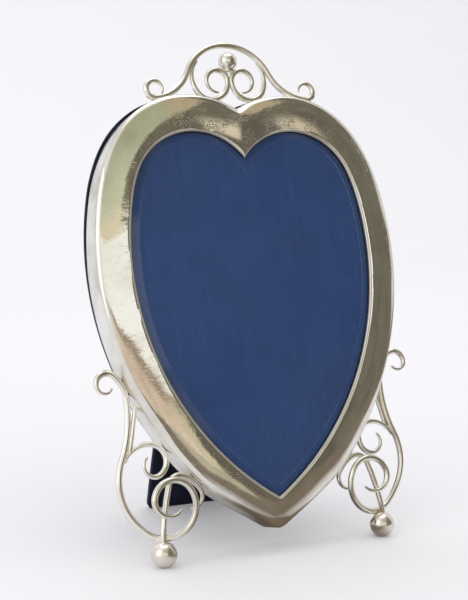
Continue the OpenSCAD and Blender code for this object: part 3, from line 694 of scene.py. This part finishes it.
def makeBand():
    b, y0 = bandShape, faceShape["seamY"]
    y1 = y0 + b["depth"]
    rise = y1 - y0 - 2 * b["edgeRise"]
    profile = [(b["edgeIn"], y0)]
    profile += [(0.0, y0 + b["edgeRise"] + rise * k / b["rows"]) for k in range(b["rows"] + 1)]
    profile += [(b["edgeIn"], y1), (b["t"], y1), (b["t"], y0)]
    verts = []
    for e, y in profile:
        for x, z in insideEdge(e):
            dent = noise.noise(Vector((x, y * 2, z)) * b["dentScale"]) * b["dent"] if e == 0 else 0
            out = Vector((x, 0, z - b["middleZ"])).normalized()
            verts.append((x + out.x * dent, y, z + out.z * dent))
    faces = ringFaces(len(profile), len(verts) // len(profile))
    register(putMesh("sideBand", verts, faces, toStand, silver["band"], 50), "heart", "silver", "side_band")


makeBand()
print("face and band made")

# glass and lining behind the lip
insert = {"lap": 3, "bevel": 3.2, "bevelTipR": 0.6, "rise": 0.15, "glassT": 2.6, "gap": 0.3, "lining": 0.5,
          "slip": 0.1, "arris": 0.34, "arrisDrop": 0.15, "rimShade": [(-0.5, 0), (0.1, 1)]}
glassY = insert["slip"] / 2 - insert["rise"] * insert["bevel"]


def bevelEdge(inwards=0.0):
    bevel = insert["bevel"] + inwards
    r = heart["sideR"] - bevel
    cx = sidePlaces[1][0] - heart["sideR"] * sinD(heart["tipSlope"])
    cz = sidePlaces[1][1] + heart["sideR"] * cosD(heart["tipSlope"])
    tipC = cz - math.sqrt((r - insert["bevelTipR"]) ** 2 - cx * cx)
    slope = 90 + math.degrees(math.atan2(tipC - cz, -cx))
    lobe = heart["lobeR"] - bevel
    places = stationsAlong((0, tipC - insert["bevelTipR"], 0), [
        (insert["bevelTipR"], slope), (r, sidePlaces[2][2] - slope),
        (heart["shoulderR"] - bevel, heart["shoulderTurn"]),
        (lobe, 180 + asinD(lobeX / lobe) - lobeHeading)], heart["steps"])
    return wholeHeart([(max(0, x), z) for x, z, h in places])


def makeGlassPane():
    behind = outsideWindow(insert["lap"])
    rings = [(bevelEdge(insert["arris"]), glassY), (bevelEdge(), glassY + insert["arrisDrop"]),
             (behind, glassY + insert["rise"] * (insert["bevel"] + insert["lap"])),
             (behind, glassY + insert["glassT"])]
    verts = [(x, y, z) for ring, y in rings for x, z in ring]
    pane = putMesh("bevelledGlass", verts, closedStack(4, len(behind)), toStand, glass, 1)
    register(pane, "heart", "glass", "bevelled_glass")


def makeLining():
    y0, d0 = glassY + insert["glassT"] + insert["gap"], insert["lap"] - insert["slip"]
    rings = [(d, y0, dim) for d, dim in insert["rimShade"]] + [(d0, y0, 1), (d0, y0 + insert["lining"], 0)]
    verts = [(x, y, z) for d, y, dim in rings for x, z in outsideWindow(d)]
    n = len(verts) // len(rings)
    uvs = [(v[0] * mm, v[2] * mm) for v in verts]
    obj = putMesh("blueLining", verts, closedStack(len(rings), n), toStand, twill, 30, uvs)
    markPoints(obj, "underRim", [rings[i // n][2] for i in range(len(verts))])  # the lip's shadow on the cloth
    return register(obj, "heart", "twill", "blue_lining")


makeGlassPane()
blueLining = makeLining()
print("glass and lining made")

# velvet over the back board, with its edge turned in under the board
velvetShape = {"t": 0.7, "boardY": 14.6, "backT": 2.3, "rise": 1.5, "round": 0.9, "hem": 2.2, "hemT": 0.2,
               "fold": (0.25, 0.35), "capIn": 4.0, "softScale": 0.25, "soft": 0.10, "slack": 0.05}


def makeVelvetBack():
    v = velvetShape
    r, y0, y2 = v["round"], v["boardY"], v["boardY"] + v["backT"] + v["t"]
    front = y0 - v["hemT"]
    rings = [(v["t"], y2 - v["t"]), (v["t"], y0), (v["hem"], y0), (v["hem"], front)]
    rings += [(v["fold"][0], front), (0.0, front + v["fold"][1])]
    rings += [(r - r * cosD(a), y2 - r + r * sinD(a)) for a in (0, 22, 45, 68, 90)] + [(v["capIn"], y2)]
    verts = []
    for k, (e, y) in enumerate(rings):
        for x, z in insideEdge(e):
            nap = abs(noise.noise(Vector((x, y, z)) * v["softScale"]) * v["soft"]) if k > 1 and e < 3 else 0
            verts.append((x, y - nap * 0.3, z + v["rise"] - nap))
    faces = closedStack(len(rings), len(verts) // len(rings))
    return register(putMesh("velvetBack", verts, faces, toStand, velvet, 50), "heart", "velvet", "velvet_back")


def strutHalf(z):
    up = 1 - z / strutLen
    footW, topW = stance["strutFootW"], stance["strutTopW"]
    return footW / 2 - (footW - topW) / 2 * up ** stance["strutTaper"]


def makeStrutVelvet():
    r, top, rows = stance["strutCornerR"], stance["strutDrop"], stance["strutRows"]
    half = [(strutHalf(z), -z) for z in [top + (strutLen - r - top) * k / rows for k in range(rows + 1)]]
    half += [(strutHalf(strutLen - r) - r * (1 - cosD(a)), -strutLen + r * (1 - sinD(a)))
             for a in range(10, 91, 10)]
    edge = [Vector(p) for p in half + [(-x, z) for x, z in reversed(half)]]
    n = len(edge)
    centre = Vector((0, -strutLen / 2))

    def shrunk(d):
        out = []
        for i, b in enumerate(edge):
            normals = []
            for p, q in ((edge[i - 1], b), (b, edge[(i + 1) % n])):
                if (q - p).length > 1e-6:
                    normals.append(Vector(((p - q).y, (q - p).x)).normalized())
            m = sum(normals, Vector((0, 0)))
            m.normalize()
            out.append(b + (-m if m.dot(centre - b) < 0 else m) * d)
        return out

    y0, y1, er = stance["knuckleR"], strutBackY, stance["strutEdgeR"]
    rings = [(er * (1 - cosD(a)), y0 + er * (1 - sinD(a))) for a in (90, 60, 30, 0)]
    rings += [(er * (1 - cosD(a)), y1 - er * (1 - sinD(a))) for a in (0, 30, 60, 90)]
    verts, faces = [], []
    for inner in (0, stance["velvetT"] - velvetShape["slack"]):  # the outside, then the inside turned round
        first = len(verts)
        for d, y in rings:
            verts += [(x, min(max(y, y0 + inner), y1 - inner), z) for x, z in shrunk(max(d, inner))]
        faces += [tuple(first + i for i in (f[::-1] if inner else f)) for f in closedStack(len(rings), n)]
    obj = putMesh("strutVelvet", verts, faces, toStrut, velvet, 50)
    for v in obj.data.vertices:
        v.co.z = max(v.co.z, 0)  # the foot ends flat on the table
    return register(obj, "strut", "velvet", "strut_velvet")


velvetBack, strutVelvet = makeVelvetBack(), makeStrutVelvet()
print("velvet made")


def makeWireTree():
    tree, gin, gout = newTree("drawnWire", "GeometryNodeTree", [
        ("Geometry", "NodeSocketGeometry", None), ("Sides", "NodeSocketInt", 24),
        ("Waver", "NodeSocketFloat", 0.00004), ("Waver Scale", "NodeSocketFloat", 160.0),
        ("Seed", "NodeSocketFloat", 3.0), ("Material", "NodeSocketMaterial", None)],
        [("Geometry", "NodeSocketGeometry")])
    given = gin.outputs

    def reading(kind):
        return tree.nodes.new("GeometryNodeInput" + kind).outputs[0]

    circle = addNode(tree, "GeometryNodeCurvePrimitiveCircle", Radius=1.0, Resolution=given["Sides"])
    tube = addNode(tree, "GeometryNodeCurveToMesh", Curve=given["Geometry"], Profile_Curve=circle.outputs[0],
                   Fill_Caps=True, Scale=reading("Radius"))
    waver = addNode(tree, "ShaderNodeTexNoise", {"noise_dimensions": "4D"}, Vector=reading("Position"),
                    W=given["Seed"], Scale=given["Waver Scale"]).outputs["Fac"]
    amount = times(tree, mathNode(tree, "SUBTRACT", waver, 0.5), given["Waver"])
    push = addNode(tree, "ShaderNodeVectorMath", {"operation": "SCALE"}, i0=reading("Normal"), Scale=amount)
    moved = addNode(tree, "GeometryNodeSetPosition", Geometry=tube.outputs[0], Offset=push.outputs[0])
    smooth = addNode(tree, "GeometryNodeSetShadeSmooth", Geometry=moved.outputs[0])
    real = addNode(tree, "GeometryNodeRealizeInstances", Geometry=smooth.outputs[0])
    paint = addNode(tree, "GeometryNodeSetMaterial", Geometry=real.outputs[0], Material=given["Material"])
    feed(tree, gout, Geometry=paint.outputs[0])
    return tree


wireTree = makeWireTree()


def takeMesh(source, name):
    graph = bpy.context.evaluated_depsgraph_get()
    graph.update()
    mesh = bpy.data.meshes.new_from_object(source.evaluated_get(graph))
    mesh.name = name
    obj = bpy.data.objects.new(name, mesh)
    bpy.context.scene.collection.objects.link(obj)
    bpy.data.objects.remove(source)
    return obj


def drawWire(name, node, route, r, startPoint=True, endPoint=True, side=1):
    run = runsOf([(x, z) for x, y, z in route])
    points = []
    for (x, y, z), s in zip(route, run):
        near = min(s if startPoint else wires["pointLen"], run[-1] - s if endPoint else wires["pointLen"])
        w = wires["full"] * (wires["pointR"] + (r - wires["pointR"]) * min(1, near / wires["pointLen"]))
        points.append((Vector((side * x, y, z)), w))
    for end, inner in ((0, 1), (-1, -2)):  # rounded ends
        p, w = points[end]
        out = (p - points[inner][0]).normalized()
        caps = [(p + out * w * sinD(a), w * cosD(a)) for a in (30, 55, 75, 86)]
        points = points + caps if end else caps[::-1] + points
    curve = bpy.data.curves.new(name, "CURVE")
    curve.dimensions = "3D"
    spline = curve.splines.new("POLY")
    spline.points.add(len(points) - 1)
    for point, (p, w) in zip(spline.points, points):
        point.co = (*(toStand @ p), 1)
        point.radius = w * mm
    source = bpy.data.objects.new(name + "Route", curve)
    bpy.context.scene.collection.objects.link(source)
    modifier = source.modifiers.new("drawnWire", "NODES")
    modifier.node_group = wireTree
    given = {"Sides": wires["sides"], "Seed": float(len(name)), "Waver": wires["waver"],
             "Material": silver["wire"]}
    for socket in wireTree.interface.items_tree:
        if socket.in_out == "INPUT" and socket.name in given:
            modifier[socket.identifier] = given[socket.name]
    register(takeMesh(source, name), "heart", "silver", node)


drawWire("crestArch", "crest_arch", archRoute, wires["r"])
for side, word in sidesOfHeart:
    for name, node, route, r, pointed in (("crestScroll", "crest_scroll_", crestRoute, "scrollR", (True, True)),
                                          ("footScroll", "foot_scroll_", footRoute, "r", (True, True)),
                                          ("footCurl", "foot_curl_", curlRoute, "scrollR", (True, True)),
                                          ("footCrook", "foot_crook_", crookRoute, "scrollR", (False, True)),
                                          ("footTie", "foot_tie_", tieRoute, "tieR", (False, False))):
        drawWire(name + word.capitalize(), node + word, route, wires[r], *pointed, side)
print("wires drawn")

# balls, turned with a flat or a neck below and closed by a small cap on top
ballShape = {"segments": 64, "capAt": 89, "footRows": 40, "crestRows": 36, "neckIn": 0.9, "neckEdge": 0.25}


def ballProfile(r, start, rows):
    angles = [start + (ballShape["capAt"] - start) * k / rows for k in range(rows + 1)]
    return [(r * cosD(a), r * sinD(a)) for a in angles]


def turnBall(name, node, profile, centre, place, material):
    n = ballShape["segments"]
    verts = [(centre[0] + r * cosD(360 * k / n), centre[1] + r * sinD(360 * k / n), centre[2] + h)
             for r, h in profile for k in range(n)]
    register(putMesh(name, verts, closedStack(len(profile), n), place, material, 60), "heart", "silver", node)


for side, word in sidesOfHeart:
    r = wires["ballR"]
    profile = ballProfile(r, asinD((wires["ballFlat"] - r) / r), ballShape["footRows"])
    centre = (toStand @ Vector((side * ballX, wires["ballY"], ballZ))) / mm
    turnBall("ballFoot" + word.capitalize(), "ball_foot_" + word, profile, centre, Matrix.Scale(mm, 4),
             silver["ball"])
r, neckR, neckZ = wires["crestBallR"], wires["crestNeckR"], -wires["crestBallR"] - wires["crestNeck"]
profile = [(neckR * ballShape["neckIn"], neckZ), (neckR, neckZ + ballShape["neckEdge"])]
profile += ballProfile(r, -acosD(neckR / r), ballShape["crestRows"])
turnBall("crestBall", "crest_ball", profile, (0, wires["crestY"], crestBallZ), toStand, silver["crestBall"])
print("balls turned")

# the solids that stay as they are get their finish
dress = {wood: ("wood_liner", "plug_board", "back_board", "strut_board"), card: ("lining_card",),
         brass: ("back_screws", "hinge_leaf_back", "hinge_leaf_strut", "hinge_pin", "hinge_rivets_back",
                 "hinge_rivets_strut")}
for material, names in dress.items():
    for name in names:
        nodes[name].data.materials.clear()
        nodes[name].data.materials.append(material)
print("hidden pieces dressed")

# the floor sweep; what only the metal reflects of it lies along axes turned by "axis" degrees
studio = {"front": -2.2, "turn": 0.9, "bendR": 0.5, "wall": 2.4, "half": 2.6,
          "paper": (0.775, 0.77, 0.785), "mottle": 0.985, "glow": 0.14,
          "axis": 24.5, "room": (0.20, 0.16, 0.115), "reflectedPaperRight": 0.40, "reflectedPaperFront": 0.04, "cutFrom": 0.01,
          "fade": 0.07, "flatTo": (0.02, 0.2), "gloom": (0.008, -0.045, 0), "gloomR": (0.046, 0.030),
          "strip": (0.50, 0.46, 0.33), "stripAway": (0.26, 0.36), "stripTurn": [(-8, -4), (11.6, 10.4)]}


def turnOf(tree, x, nearer):
    return times(tree, mathNode(tree, "ARCTAN2", x, nearer), 180 / math.pi)


def makePaper():
    mat, tree, shader = newMaterial("paleFloor")
    place = objectPlace(tree)
    dimmer = tuple(studio["mottle"] * c for c in studio["paper"])
    paper = mixColor(tree, noiseNode(tree, place, 4.0, 3.0), dimmer, studio["paper"])
    aligned = mapped(tree, place, Rotation=(0, 0, math.radians(studio["axis"])))
    x, y, z = addNode(tree, "ShaderNodeSeparateXYZ", Vector=aligned).outputs

    def after(value, start, fade):
        return rampNode(tree, value, start, start + fade)

    # painted reflection: glossy rays see the room's dark colour instead of the paper to the right, in front of
    # the right foot and under the tip
    across = after(x, studio["reflectedPaperRight"], studio["fade"])
    nearer = times(tree, after(times(tree, y, -1.0), studio["reflectedPaperFront"], studio["fade"] / 2),
                   after(x, studio["cutFrom"], studio["fade"] / 2))
    gloom = addNode(tree, "ShaderNodeVectorMath", {"operation": "DISTANCE"}, i0=place, i1=studio["gloom"])
    nearer = mathNode(tree, "MAXIMUM", nearer, rampNode(tree, gloom.outputs["Value"], *studio["gloomR"]))
    flat = rampNode(tree, z, *studio["flatTo"], 1.0, 0.0)
    beyond = times(tree, mathNode(tree, "MAXIMUM", across, nearer), flat)
    reflected = mixColor(tree, beyond, paper, studio["room"])
    x, y, z = addNode(tree, "ShaderNodeSeparateXYZ", Vector=place).outputs
    away = times(tree, y, -1.0)
    turn = turnOf(tree, x, away)
    # painted reflection: a beige strip that only glossy rays see, set by distance in front and by turn
    strip = rampNode(tree, away, *studio["stripAway"])
    for span in studio["stripTurn"]:
        strip = times(tree, strip, rampNode(tree, turn, *span))
    reflected = mixColor(tree, strip, reflected, studio["strip"])
    glossy = tree.nodes.new("ShaderNodeLightPath").outputs["Is Glossy Ray"]
    feed(tree, shader, Base_Color=mixColor(tree, glossy, paper, reflected), Roughness=0.8,
         Specular_IOR_Level=0.2, Emission_Color=studio["paper"],
         Emission_Strength=times(tree, mathNode(tree, "SUBTRACT", 1.0, glossy), studio["glow"]))
    return mat


def makeSweep():
    s = studio
    rows = [(s["front"], 0), (s["turn"], 0)]
    rows += [(s["turn"] + s["bendR"] * sinD(a), s["bendR"] * (1 - cosD(a))) for a in range(10, 91, 10)]
    rows += [(s["turn"] + s["bendR"], s["wall"])]
    verts = [(x, y, z) for y, z in rows for x in (-s["half"], s["half"])]
    faces = [(2 * i, 2 * i + 1, 2 * i + 3, 2 * i + 2) for i in range(len(rows) - 1)]
    putMesh("studioSweep", verts, faces, Matrix.Identity(4), makePaper(), 0)


makeSweep()

softboxes = {
    "leftBox": {"place": (-1.1, -0.35, 0.55), "aim": (0, 0, 0.1), "size": (0.9, 0.9), "power": 1.6,
                "color": (1, 0.995, 0.98)},
    "topBox": {"place": (0.1, 0.3, 1.5), "aim": (0, 0, 0.1), "size": (1.4, 1.2), "power": 3.3,
               "color": (1, 1, 1)},
    "backBox": {"place": (0.2, 0.7, 1.9), "aim": (0.6, 1.4, 0.5), "size": (1.6, 0.5), "power": 3.0,
                "color": (1, 1, 1)},
}
for name, box in softboxes.items():
    light = bpy.data.lights.new(name, "AREA")
    light.shape = "RECTANGLE"
    light.size, light.size_y = box["size"]
    light.energy = box["power"]
    light.color = box["color"]
    obj = bpy.data.objects.new(name, light)
    obj.location = box["place"]
    obj.rotation_euler = (Vector(box["aim"]) - Vector(box["place"])).to_track_quat("-Z", "Y").to_euler()
    bpy.context.scene.collection.objects.link(obj)

# what the metal reflects, by the direction's turn from the front (+ to the right) and its height, in degrees
room = {
    "dark": (0.135, 0.122, 0.10), "darkRight": (0.155, 0.145, 0.12), "rightFrom": (34, 60),
    "olive": (0.23, 0.215, 0.155), "oliveShare": 0.5, "patch": 9.0, "patchFrom": (0.42, 0.58),
    "glint": (0.74, 0.66, 0.52), "glintTurn": [(30, 33), (42, 37.5)], "glintHeight": [(28.5, 32), (40, 35.5)],
    "white": (1.02, 1.02, 0.99), "leftFrom": (14.7, 13.3),
    "leftShift": [((12, 8), -2.5), ((24, 27), -9.0), ((31, 43.5), 21.5), ((44, 50), 19.0)],
    "edge": (0.77, 0.68, 0.48), "edgeAbove": (25.0, 25.8),
    "sagePale": (0.60, 0.63, 0.46), "sage": (0.45, 0.47, 0.33), "sageAbove": (27.3, 28.3), "sageDeep": (29, 42),
    "brown": (0.36, 0.28, 0.20), "brownBelow": (12.4, 11.6), "floorBelow": (-8.5, -11.5),
    "beige": (0.80, 0.66, 0.53), "beigeBelow": (10.0, 7.8), "beigeShare": 0.3,
    "topBeige": (0.50, 0.42, 0.29), "topFrom": (41, 45), "topRim": (22, 26),
    "paleSage": (0.66, 0.61, 0.43), "lowFrom": (12, 8), "lowRim": (6.8, 8.0),
    "leftWall": (0.84, 0.83, 0.80), "farLeft": (-25, -45), "side": (0.74, 0.725, 0.70), "sideFrom": (72, 82),
    "top": (0.95, 0.95, 0.94), "ceiling": (62, 72), "plain": (0.905, 0.90, 0.925), "air": (0.92, 0.915, 0.93),
}


def makeWorld():
    world = bpy.data.worlds.new("studioAir")
    bpy.context.scene.world = world
    world.use_nodes = True
    tree = world.node_tree
    tree.nodes.clear()
    way = tree.nodes.new("ShaderNodeTexCoord").outputs["Generated"]
    x, y, z = addNode(tree, "ShaderNodeSeparateXYZ", Vector=way).outputs
    turn = turnOf(tree, x, times(tree, y, -1.0))
    height = times(tree, mathNode(tree, "ARCSINE", z), 180 / math.pi)
    patchy = rampNode(tree, noiseNode(tree, way, room["patch"], 4.0, 0.6), *room["patchFrom"])

    def masked(*spans):  # 1 where every value is past its span
        mask = 1.0
        for value, span in spans:
            mask = times(tree, mask, rampNode(tree, value, *span))
        return mask

    def layered(base, *layers):  # each layer: its colour, then pairs of a value and the name of its span
        for color, *spans in layers:
            base = mixColor(tree, masked(*((value, room[span]) for value, span in spans)), base, color)
        return base

    sage = layered(room["sagePale"], (room["sage"], (height, "sageDeep")))
    beige = mixColor(tree, times(tree, patchy, room["beigeShare"]), room["beige"], room["brown"])
    left = layered(
        room["white"], (room["edge"], (height, "edgeAbove")), (sage, (height, "sageAbove")),
        (room["brown"], (height, "brownBelow")), (beige, (height, "beigeBelow")),
        (room["brown"], (height, "floorBelow")), (room["topBeige"], (height, "topFrom"), (turn, "topRim")),
        (room["paleSage"], (height, "lowFrom"), (turn, "lowRim")), (room["leftWall"], (turn, "farLeft")))
    right = layered(room["dark"], (room["darkRight"], (turn, "rightFrom")))
    right = mixColor(tree, times(tree, patchy, room["oliveShare"]), right, room["olive"])
    glint = masked(*((turn, span) for span in room["glintTurn"]),
                   *((height, span) for span in room["glintHeight"]))
    right = mixColor(tree, glint, right, room["glint"])
    shift = 0.0
    for span, amount in room["leftShift"]:
        shift = plus(tree, shift, times(tree, rampNode(tree, height, *span), amount))
    color = layered(right, (left, (mathNode(tree, "SUBTRACT", turn, shift), "leftFrom")),
                    (room["side"], (turn, "sideFrom")), (room["top"], (height, "ceiling")))
    ray = tree.nodes.new("ShaderNodeLightPath").outputs
    color = mixColor(tree, ray["Is Glossy Ray"], room["air"], color)
    color = mixColor(tree, ray["Is Camera Ray"], color, room["plain"])
    back = addNode(tree, "ShaderNodeBackground", Color=color, Strength=1.0)
    addNode(tree, "ShaderNodeOutputWorld", Surface=back.outputs[0])


makeWorld()
bpy.context.scene.view_settings.view_transform = "Standard"
bpy.context.scene.view_settings.look = "None"
bpy.context.scene.view_settings.exposure = 0.0
print("studio set")
